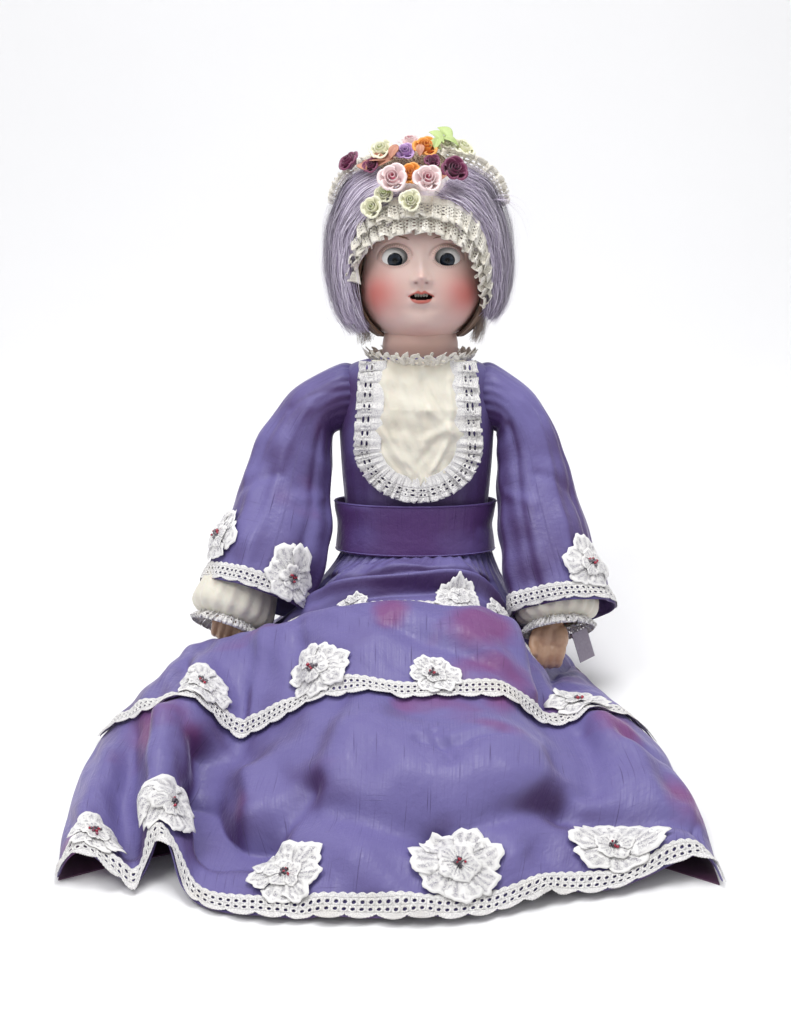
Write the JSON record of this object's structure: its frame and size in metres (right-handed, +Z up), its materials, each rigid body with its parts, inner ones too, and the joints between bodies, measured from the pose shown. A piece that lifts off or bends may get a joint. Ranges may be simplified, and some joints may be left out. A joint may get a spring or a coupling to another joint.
{
  "type": "porcelain doll",
  "caption": "Seated bisque-head child doll with sleep eyes and a jointed composition body, in a tiered lace-edged silk dress and a flowered bonnet.",
  "frame": {"origin": "on the floor under the hip sockets, on the flat underside of the skirt's back panel", "axes": "+Z up; the doll faces -Y, with its feet towards -Y; +X is the doll's own left side"},
  "size_m": [0.4659, 0.5501, 0.4417],
  "materials": {
    "bisque": "unglazed satin",
    "teeth": "glazed",
    "eye_glass": "gloss",
    "lead": "dull grey",
    "pate": "matt",
    "hair": "mohair",
    "wood": "bare",
    "composition": "painted, varnished",
    "elastic": "cord",
    "leather": "satin",
    "silk": "shot silk",
    "lining": "matt",
    "satin": "satin",
    "lace": "openwork",
    "bonnet": "matt",
    "feather": "soft",
    "ribbon_plum": "satin",
    "ribbon_cream": "satin",
    "ribbon_pink": "satin",
    "ribbon_orange": "satin",
    "ribbon_lilac": "satin",
    "card": "matt"
  },
  "bodies": {
    "torso": {"torso_shell": "composition", "arm_elastic": "elastic", "leg_elastic": "elastic", "bodice": "silk", "sash": "silk", "bib_panel": "satin", "bib_lace": "lace", "neck_ruffle": "lace", "skirt_tier_1": "silk", "skirt_tier_2": "silk", "skirt_tier_3": "silk", "skirt_lace_1": "lace", "skirt_lace_2": "lace", "skirt_lace_3": "lace", "skirt_back_panel": "lining"},
    "neck": {"neck_block": "wood"},
    "head": {"bisque_head": "bisque", "upper_teeth": "teeth", "crown_pate": "pate", "wig": "hair", "bonnet_cap": "bonnet", "bonnet_face_lace": "lace", "bonnet_back_frill": "lace", "feather_left": "feather", "feather_right": "feather", "rose_plum_left": "ribbon_plum", "rose_plum_right": "ribbon_plum", "rose_cream_left": "ribbon_cream", "rose_cream_right": "ribbon_cream", "rose_cream_low": "ribbon_cream", "rose_pink_left": "ribbon_pink", "rose_pink_right": "ribbon_pink", "rose_orange_top": "ribbon_orange", "rose_lilac": "ribbon_lilac"},
    "eyes": {"left_eye": "eye_glass", "right_eye": "eye_glass", "eye_rocker": "lead"},
    "upper_arm_left": {"upper_arm_left": "composition", "sleeve_left": "silk", "sleeve_lace_left": "lace"},
    "forearm_left": {"forearm_left": "composition", "undersleeve_left": "satin", "cuff_frill_left": "lace"},
    "hand_left": {"hand_left": "composition", "card_tag": "card"},
    "thigh_left": {"thigh_left": "composition"},
    "lower_leg_left": {"lower_leg_left": "composition", "boot_left": "leather"},
    "upper_arm_right": {"upper_arm_right": "composition", "sleeve_right": "silk", "sleeve_lace_right": "lace"},
    "forearm_right": {"forearm_right": "composition", "undersleeve_right": "satin", "cuff_frill_right": "lace"},
    "hand_right": {"hand_right": "composition"},
    "thigh_right": {"thigh_right": "composition"},
    "lower_leg_right": {"lower_leg_right": "composition", "boot_right": "leather"}
  },
  "joints": [
    {"name": "head_nod", "type": "hinge", "parent": "torso", "child": "neck", "pos_m": [0.003, 0.05105, 0.24673], "axis": [1, 0, 0], "range_deg": [-10, 8], "deforming": ["neck_ruffle"]},
    {"name": "head_turn", "type": "hinge", "parent": "neck", "child": "head", "pos_m": [0.003, 0.05105, 0.24673], "axis": [0, 0.2419, 0.9703], "range_deg": [-60, 60], "deforming": ["neck_ruffle"]},
    {"name": "eyes_close", "type": "hinge", "parent": "head", "child": "eyes", "pos_m": [0.003, 0.04128, 0.34604], "axis": [1, 0, 0], "range_deg": [0, 45]},
    {"name": "shoulder_left", "type": "hinge", "parent": "torso", "child": "upper_arm_left", "pos_m": [0.074, 0.045, 0.22248], "axis": [1, 0, 0], "range_deg": [-85, 0], "deforming": ["sleeve_left"]},
    {"name": "elbow_left", "type": "hinge", "parent": "upper_arm_left", "child": "forearm_left", "pos_m": [0.106, 0.014, 0.15188], "axis": [1, 0, 0], "range_deg": [-70, 0], "deforming": ["sleeve_left", "sleeve_lace_left"]},
    {"name": "wrist_left", "type": "hinge", "parent": "forearm_left", "child": "hand_left", "pos_m": [0.115, -0.04707, 0.07641], "axis": [0.0923, -0.6264, -0.774], "range_deg": [-45, 60]},
    {"name": "shoulder_right", "type": "hinge", "parent": "torso", "child": "upper_arm_right", "pos_m": [-0.074, 0.045, 0.22248], "axis": [1, 0, 0], "range_deg": [-85, 0], "deforming": ["sleeve_right"]},
    {"name": "elbow_right", "type": "hinge", "parent": "upper_arm_right", "child": "forearm_right", "pos_m": [-0.12, 0.01739, 0.15309], "axis": [1, 0, 0], "range_deg": [-70, 0], "deforming": ["sleeve_right", "sleeve_lace_right"]},
    {"name": "wrist_right", "type": "hinge", "parent": "forearm_right", "child": "hand_right", "pos_m": [-0.148, -0.03301, 0.08321], "axis": [-0.3091, -0.5563, -0.7713], "range_deg": [-45, 60]},
    {"name": "hip_left", "type": "hinge", "parent": "torso", "child": "thigh_left", "pos_m": [0.04, -0.01, 0.039], "axis": [0, 0, 1], "range_deg": [0, 3]},
    {"name": "knee_left", "type": "hinge", "parent": "thigh_left", "child": "lower_leg_left", "pos_m": [0.042, -0.134, 0.048], "axis": [1, 0, 0], "range_deg": [-3, 0]},
    {"name": "hip_right", "type": "hinge", "parent": "torso", "child": "thigh_right", "pos_m": [-0.04, -0.01, 0.039], "axis": [0, 0, 1], "range_deg": [-2, 0]},
    {"name": "knee_right", "type": "hinge", "parent": "thigh_right", "child": "lower_leg_right", "pos_m": [-0.042, -0.134, 0.048], "axis": [1, 0, 0], "range_deg": [-1.5, 0]}
  ]
}
